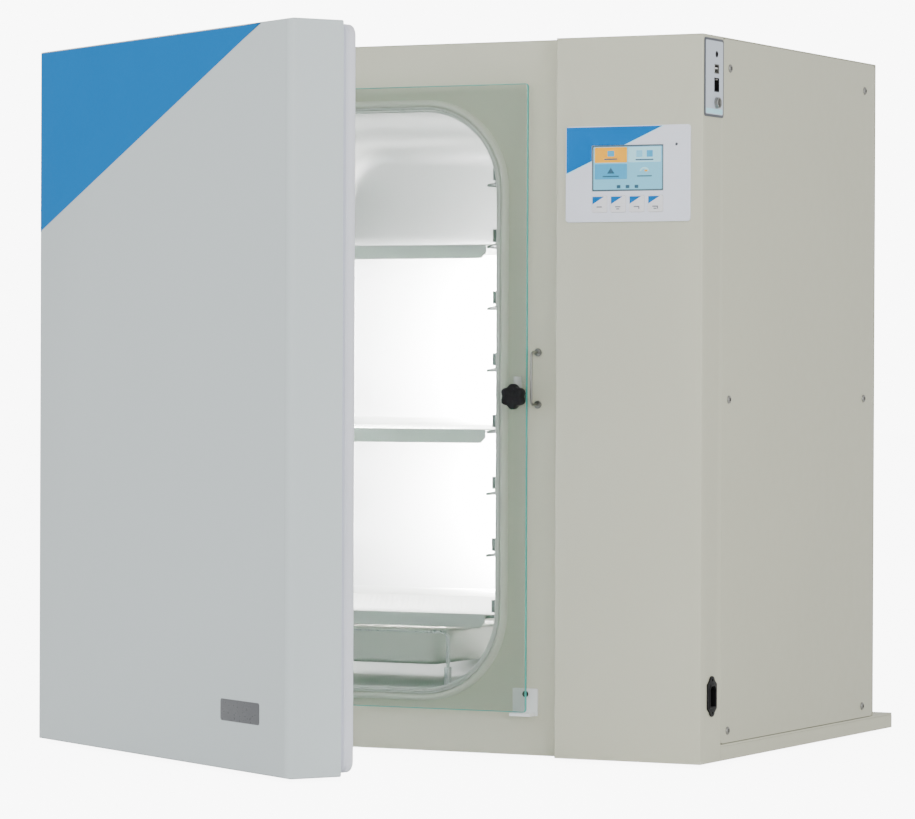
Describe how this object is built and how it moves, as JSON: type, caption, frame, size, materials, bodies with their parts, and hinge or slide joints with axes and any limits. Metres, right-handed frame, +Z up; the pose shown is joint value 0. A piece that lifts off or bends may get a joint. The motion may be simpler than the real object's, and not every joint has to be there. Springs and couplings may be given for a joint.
{
  "type": "laboratory incubator",
  "caption": "Bench-top laboratory incubator: insulated cabinet with inner glass door, outer door ajar, shelves, water pan and a control column.",
  "frame": {"origin": "on the surface that the feet stand on, under the middle of the cabinet and of its centre foot", "axes": "+Z up; the doors face -Y; the control column is at +X"},
  "size_m": [0.9119, 1.0632, 0.894],
  "materials": {
    "rubber_foot": "matte",
    "cabinet_paint": "satin",
    "zinc_screw": "satin",
    "insulation_wool": "matte",
    "heater_foil": "matte",
    "stainless": "satin",
    "bright_metal": "satin",
    "seal_rubber": "matte",
    "door_seal": "matte",
    "black_plastic": "satin",
    "sensor_body": "satin",
    "white_plastic": "satin",
    "door_paint": "satin",
    "inner_door_paint": "satin",
    "blue_film": "satin",
    "clear_glass": "polished",
    "bezel_film": "satin",
    "screen_glass": "gloss",
    "key_plastic": "satin",
    "circuit_board": "satin",
    "led_lens": "gloss",
    "plate_film": "satin",
    "brass": "satin"
  },
  "bodies": {
    "cabinet": {"feet": "rubber_foot", "base_plate": "cabinet_paint", "base_rails": "cabinet_paint", "left_panel": "cabinet_paint", "top_panel": "cabinet_paint", "rear_panel": "cabinet_paint", "rear_panel_screws": "zinc_screw", "front_fascia": "cabinet_paint", "divider_panel": "cabinet_paint", "column_cover": "cabinet_paint", "side_cover": "cabinet_paint", "side_cover_screws": "zinc_screw", "insulation_panels": "insulation_wool", "heater_mats": "heater_foil", "chamber_liner": "stainless", "chamber_gasket": "seal_rubber", "left_runners": "stainless", "right_runners": "stainless", "runner_uprights": "stainless", "water_pan": "stainless", "pan_stand": "stainless", "fan_motor": "black_plastic", "fan_guard": "stainless", "co2_sensor": "sensor_body", "glass_hinge_brackets": "bright_metal", "keeper_wire": "bright_metal", "glass_rest_block": "white_plastic", "rest_block_screw": "black_plastic", "outer_hinge_cabinet_leaves": "bright_metal", "outer_hinge_pins": "bright_metal", "control_bezel": "bezel_film", "display_screen": "screen_glass", "display_board": "circuit_board", "status_led": "led_lens", "port_plate": "plate_film", "service_ports": "black_plastic", "power_inlet": "black_plastic", "main_board": "circuit_board", "gas_inlet": "brass"},
    "glass_door": {"glass_pane": "clear_glass", "glass_hinge_clamps": "bright_metal", "latch_bush": "bright_metal"},
    "latch": {"latch_knob": "black_plastic", "latch_tongue": "bright_metal"},
    "outer_door": {"door_shell": "door_paint", "door_insulation": "insulation_wool", "door_inner_panel": "inner_door_paint", "door_gasket": "door_seal", "door_decal": "blue_film", "door_nameplate": "black_plastic", "outer_hinge_door_leaves": "bright_metal"},
    "lower_shelf_tray": {"lower_shelf": "stainless"},
    "middle_shelf_tray": {"middle_shelf": "stainless"},
    "upper_shelf_tray": {"upper_shelf": "stainless"},
    "fan_wheel": {"fan_shaft": "stainless", "fan_impeller": "stainless"},
    "menu_key_1": {"key_1": "key_plastic"},
    "menu_key_2": {"key_2": "key_plastic"},
    "menu_key_3": {"key_3": "key_plastic"},
    "menu_key_4": {"key_4": "key_plastic"}
  },
  "joints": [
    {"name": "glass_door_swing", "type": "hinge", "parent": "cabinet", "child": "glass_door", "pos_m": [-0.3965, -0.28, 0.444], "axis": [0, 0, -1], "range_deg": [0, 34]},
    {"name": "outer_door_swing", "type": "hinge", "parent": "cabinet", "child": "outer_door", "pos_m": [-0.4405, -0.2775, 0.449], "axis": [0, 0, -1], "range_deg": [-32, 148]},
    {"name": "latch_turn", "type": "hinge", "parent": "glass_door", "child": "latch", "pos_m": [0.1805, -0.28, 0.451], "axis": [0, 1, 0], "range_deg": [0, 90]},
    {"name": "fan_spin", "type": "hinge", "parent": "cabinet", "child": "fan_wheel", "pos_m": [-0.0985, 0.19, 0.136], "axis": [0, -1, 0], "continuous": true},
    {"name": "lower_shelf_slide", "type": "slide", "parent": "cabinet", "child": "lower_shelf_tray", "axis": [0, -1, 0], "range_m": [0, 0.024]},
    {"name": "middle_shelf_slide", "type": "slide", "parent": "cabinet", "child": "middle_shelf_tray", "axis": [0, -1, 0], "range_m": [0, 0.024]},
    {"name": "upper_shelf_slide", "type": "slide", "parent": "cabinet", "child": "upper_shelf_tray", "axis": [0, -1, 0], "range_m": [0, 0.024]},
    {"name": "key_1_press", "type": "slide", "parent": "cabinet", "child": "menu_key_1", "axis": [0, 1, 0], "range_m": [0, 0.001], "stiffness_N_per_m": 400},
    {"name": "key_2_press", "type": "slide", "parent": "cabinet", "child": "menu_key_2", "axis": [0, 1, 0], "range_m": [0, 0.001], "stiffness_N_per_m": 400},
    {"name": "key_3_press", "type": "slide", "parent": "cabinet", "child": "menu_key_3", "axis": [0, 1, 0], "range_m": [0, 0.001], "stiffness_N_per_m": 400},
    {"name": "key_4_press", "type": "slide", "parent": "cabinet", "child": "menu_key_4", "axis": [0, 1, 0], "range_m": [0, 0.001], "stiffness_N_per_m": 400}
  ]
}
